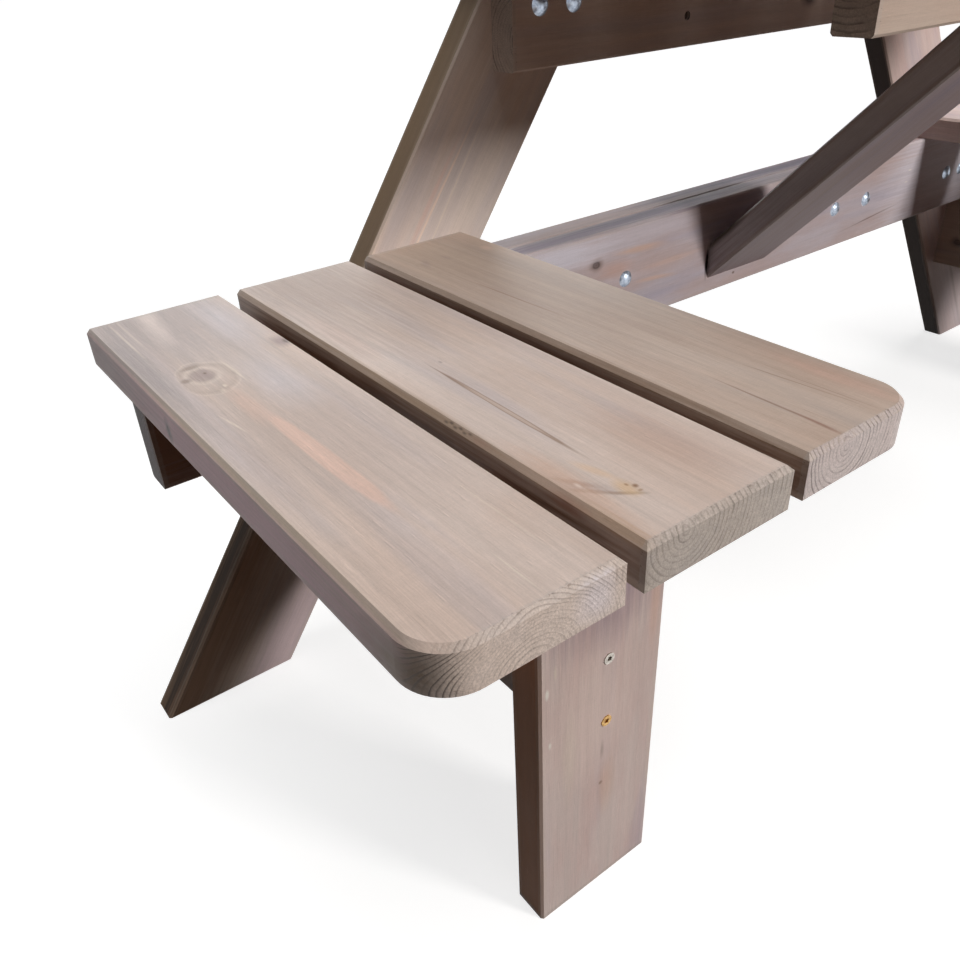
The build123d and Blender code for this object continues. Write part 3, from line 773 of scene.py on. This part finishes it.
def plated(name, light_colour, dark_colour, roughness):
    """Zinc-plated steel: faint mottling, small scratches and uneven gloss."""
    graph = Graph(bpy.data.materials.new(name))
    place = graph.add("ShaderNodeTexCoord", {}).outputs["Object"]
    mottled = graph.vector("MULTIPLY", place, PLATE_MOTTLE)
    mottle = graph.noise(mottled, MOTTLE_OCTAVES, PLATE_NOISE_ROUGHNESS)
    scratched = graph.vector("MULTIPLY", place, PLATE_SCRATCHES)
    scratch = graph.noise(scratched, SCRATCH_OCTAVES, PLATE_NOISE_ROUGHNESS)
    smoothest, roughest = roughness - PLATE_SMOOTHER, roughness + PLATE_ROUGHER
    inputs = {"Height": scratch, "Strength": PLATE_BUMP, "Distance": PLATE_BUMP_HEIGHT}
    bump = graph.add("ShaderNodeBump", inputs)
    shader = graph.add("ShaderNodeBsdfPrincipled", {
        "Base Color": graph.mix(graph.remap(mottle, *MOTTLE_RANGE), light_colour, dark_colour),
        "Metallic": 1.0,
        "Roughness": graph.remap(scratch, *MIDDLE, smoothest, roughest, smooth=False),
        "Normal": bump.outputs[0],
    })
    return graph.finish(shader.outputs[0])


# Frames of all boards
X_AXIS, Y_AXIS, Z_AXIS, MINUS_Y = (1, 0, 0), (0, 1, 0), (0, 0, 1), (0, -1, 0)
LEANING = ("brace", "leg_left", "leg_right")
board_frames = {"brace": brace_frame()}
for side, name in ((-1, "left"), (1, "right")):
    board_frames[f"leg_{name}"] = leg_frame(f"leg_{name}", side)
    board_frames[f"seat_{name}_post"] = corner_frame(f"seat_{name}_post", Z_AXIS, MINUS_Y)
    board_frames[f"seat_{name}_rail"] = corner_frame(f"seat_{name}_rail", X_AXIS, Z_AXIS)
    board_frames[f"seat_{name}_batten"] = corner_frame(f"seat_{name}_batten", Y_AXIS, Z_AXIS)
    for number in (1, 2, 3):
        plank_name = f"seat_{name}_plank_{number}"
        board_frames[plank_name] = corner_frame(plank_name, X_AXIS, Y_AXIS)
for name in ("seat_beam", "seat_ledger", "top_beam", "top_ledger", "top_batten"):
    board_frames[name] = corner_frame(name, Y_AXIS, Z_AXIS)
for number in range(1, 7):
    board_frames[f"top_plank_{number}"] = corner_frame(f"top_plank_{number}", X_AXIS, Y_AXIS)

PITHS = {
    "seat_left_plank_1": (58, -35),
    "seat_left_plank_2": (29, -4),
    "seat_left_plank_3": (38, -8),
}
TONES = {
    "seat_left_plank_1": BEIGE,
    "seat_left_plank_2": BEIGE,
    "seat_left_plank_3": BROWN,
    "leg_left": TAN,
    "leg_right": PINK_GREY,
    "seat_beam": LILAC_GREY,
    "seat_ledger": LILAC_GREY,
    "seat_left_post": PINK_GREY,
    "brace": UMBER,
}
END_TONES = {
    "seat_left_plank_1": srgb(212, 196, 186),
    "seat_left_plank_2": srgb(160, 153, 146),
    "seat_left_plank_3": srgb(200, 189, 190),
    # Painted shade: near black-brown ends of the beam and the ledger, for the shade under the seat planks
    "seat_beam": srgb(44, 31, 24),
    "seat_ledger": srgb(44, 31, 24),
}
RING_DEPTHS = {
    "seat_left_plank_1": 0.42,
    "seat_left_plank_2": 0.62,
    "seat_left_plank_3": 0.72,
}
USUAL_RING_DEPTH = 0.6

# The outer plank's rings are wide at the pith, crowd towards the bark and are flatter than circles
OWN_RINGS = {"seat_left_plank_1": {"ring": 9.5, "flatness": 1.25, "crowding": 1.6}}

# Painted shade: the narrow sides of the legs and posts are darker and browner than their faces, for the shade
# they lie in
UNSTAINED = covering(0, 0, 0, 0.0)
SIDE_SHADES = {
    "leg_left": covering(134, 110, 82, 0.85),
    "leg_right": covering(60, 51, 46, 0.95),
    "seat_left_post": covering(164, 108, 66, 0.95),
    "seat_right_post": covering(156, 122, 96, 0.8),
}

# Planks of the seats and the tabletop have more sheen and stronger grain than the frame
PLANK_SHEEN = 0.26
PLANK_GRAIN = 1.0
FRAME_SHEEN = 0.05
FRAME_GRAIN = 0.7


# What chance decides where the photograph shows nothing, in millimetres or as a share of the board
PITH_ACROSS = (10, 110)
PITH_DEPTHS = (-45, -20, 14)
RING_WIDTHS = (3.4, 4.6)
USUAL_TONES = (BEIGE, BROWN, PINK_GREY)
KNOTS_ON_BOARD = (1, 3)
KNOT_SIZES = (6, 15)
KNOT_ALONG = (0.08, 0.92)
KNOT_ACROSS = (0.15, 0.85)
KNOT_KINDS = (KNOT_HALO, DARK_KNOT, BROWN_KNOT)

# A knot's length and swirl, and the middle, half length, half width and strength of its streak, by its size
KNOT_STRETCH = 1.4
KNOT_SWIRL = 0.25
TRAIL_MIDDLE = 6
TRAIL_LENGTH = 7
TRAIL_WIDTH = 0.5
TRAIL_STRENGTH = 0.5


def usual_marks(chance, length, width):
    """A few knots, each with a pink streak on one side."""
    marks = []
    for _ in range(chance.randint(*KNOTS_ON_BOARD)):
        size = chance.uniform(*KNOT_SIZES)
        along = chance.uniform(*KNOT_ALONG) * length
        across = chance.uniform(*KNOT_ACROSS) * width
        stops = chance.choice(KNOT_KINDS)
        marks.append(knot(along, across, KNOT_STRETCH * size, size, stops, swirl=KNOT_SWIRL * size))
        trail = (along + TRAIL_MIDDLE * size, across, TRAIL_LENGTH * size, TRAIL_WIDTH * size)
        marks.append(streak(*trail, SALMON, TRAIL_STRENGTH))
    return marks


for index, (name, matrix) in enumerate(sorted(board_frames.items())):
    chance = random.Random(index)
    low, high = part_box(name)
    size = [sum(abs(part) * span for part, span in zip(matrix.col[i], high - low)) for i in (0, 1)]
    if name in LEANING:
        size = (None, BOARD_W)
    look = {
        "pith": PITHS.get(name, (chance.uniform(*PITH_ACROSS), chance.choice(PITH_DEPTHS))),
        "ring": chance.uniform(*RING_WIDTHS),
        "flatness": 1.0,
        "crowding": 1.0,
        "tones": TONES.get(name, chance.choice(USUAL_TONES)),
        "end_tone": END_TONES.get(name, END_GREY),
        "ring_depth": RING_DEPTHS.get(name, USUAL_RING_DEPTH),
        "sheen": PLANK_SHEEN if "plank" in name else FRAME_SHEEN,
        "grain": PLANK_GRAIN if "plank" in name else FRAME_GRAIN,
        "side_shade": SIDE_SHADES.get(name, UNSTAINED),
    }
    look.update(OWN_RINGS.get(name, {}))
    marks = PHOTO_MARKS.get(name) or usual_marks(chance, size[0] / MM, size[1] / MM)
    nodes[name].data.materials[0] = spruce(name, matrix, size, look, marks, index)

nickel = plated("nickel", srgb(196, 190, 182), srgb(148, 141, 133), 0.34)
zinc = plated("zinc", srgb(176, 185, 198), srgb(134, 144, 160), 0.32)
yellow_zinc = plated("yellow_zinc", srgb(216, 178, 112), srgb(160, 120, 66), 0.3)
METALS = {"post_screws_zinc": nickel, "post_screws_yellow": yellow_zinc}
for name in nodes:
    if name not in board_frames:
        nodes[name].data.materials[0] = METALS.get(name, zinc)


def studio_floor():
    mesh = bpy.data.meshes.new("floor")
    half = FLOOR_SIZE / 2
    corners = [(-half, -half, 0), (half, -half, 0), (half, half, 0), (-half, half, 0)]
    mesh.from_pydata(corners, [], [(0, 1, 2, 3)])
    floor = bpy.data.objects.new("floor", mesh)
    bpy.context.scene.collection.objects.link(floor)
    graph = Graph(bpy.data.materials.new("floor"))
    dull = graph.add("ShaderNodeBsdfDiffuse", {"Color": FLOOR_DULL}).outputs[0]
    pale = graph.add("ShaderNodeBsdfDiffuse", {"Color": FLOOR_PALE}).outputs[0]
    glow = graph.add("ShaderNodeEmission", {"Color": WHITE, "Strength": FLOOR_GLOW}).outputs[0]
    bright = graph.add("ShaderNodeAddShader", {0: pale, 1: glow}).outputs[0]
    both = graph.add("ShaderNodeMixShader", {0: graph.seen(), 1: dull, 2: bright}).outputs[0]
    mesh.materials.append(graph.finish(both))


def studio_world():
    graph = Graph(bpy.data.worlds.new("studio"))
    strength = graph.remap(graph.seen(), 0.0, 1.0, SURROUND_LEVEL, 1.0, smooth=False)
    back = graph.add("ShaderNodeBackground", {"Color": WHITE, "Strength": strength})
    bpy.context.scene.world = graph.finish(back.outputs[0], "ShaderNodeOutputWorld")


def lamp(name, kind, place, away, energy, colour):
    """A lamp at place that shines against the direction away."""
    light = bpy.data.lights.new(name, kind)
    light.energy = energy
    light.color = colour
    holder = bpy.data.objects.new(name, light)
    holder.location = place
    holder.rotation_euler = Vector(away).to_track_quat("Z", "Y").to_euler()
    holder.visible_camera = False
    bpy.context.scene.collection.objects.link(holder)
    return light


def studio_lights():
    """A level of 1 shows a white surface that faces the lamp as white."""
    towards_key = KEY_PLACE - SEAT_MIDDLE
    key_energy = KEY_LEVEL * (math.pi * towards_key.length) ** 2
    key = lamp("key", "AREA", KEY_PLACE, towards_key, key_energy, KEY_COLOUR)
    key.shape = "SQUARE"
    key.size = KEY_SIZE
    sky = lamp("sky", "SUN", SKY_PLACE, SKY_DIRECTION, SKY_LEVEL * math.pi, SKY_COLOUR)
    sky.angle = SKY_ANGLE
    fill = lamp("fill", "SUN", FILL_PLACE, FILL_DIRECTION, FILL_LEVEL * math.pi, FILL_COLOUR)
    fill.angle = FILL_ANGLE


def studio_camera():
    forward = Vector((
        -math.cos(CAMERA_YAW) * math.cos(CAMERA_PITCH),
        math.sin(CAMERA_YAW) * math.cos(CAMERA_PITCH),
        -math.sin(CAMERA_PITCH),
    ))
    level_right = forward.cross(Vector((0, 0, 1))).normalized()
    level_up = level_right.cross(forward)
    right = level_right * math.cos(CAMERA_ROLL) + level_up * math.sin(CAMERA_ROLL)
    up = level_up * math.cos(CAMERA_ROLL) - level_right * math.sin(CAMERA_ROLL)
    lens = bpy.data.cameras.new("camera")
    lens.sensor_width = SENSOR_WIDTH
    lens.lens = SENSOR_WIDTH * FOCAL_PIXELS / IMAGE_SIZE
    camera = bpy.data.objects.new("camera", lens)
    matrix = Matrix((right, up, -forward)).transposed().to_4x4()
    matrix.translation = CAMERA_PLACE
    camera.matrix_world = matrix
    bpy.context.scene.collection.objects.link(camera)
    bpy.context.scene.camera = camera


studio_floor()
studio_world()
studio_lights()
studio_camera()
bpy.context.scene.view_settings.view_transform = "Standard"
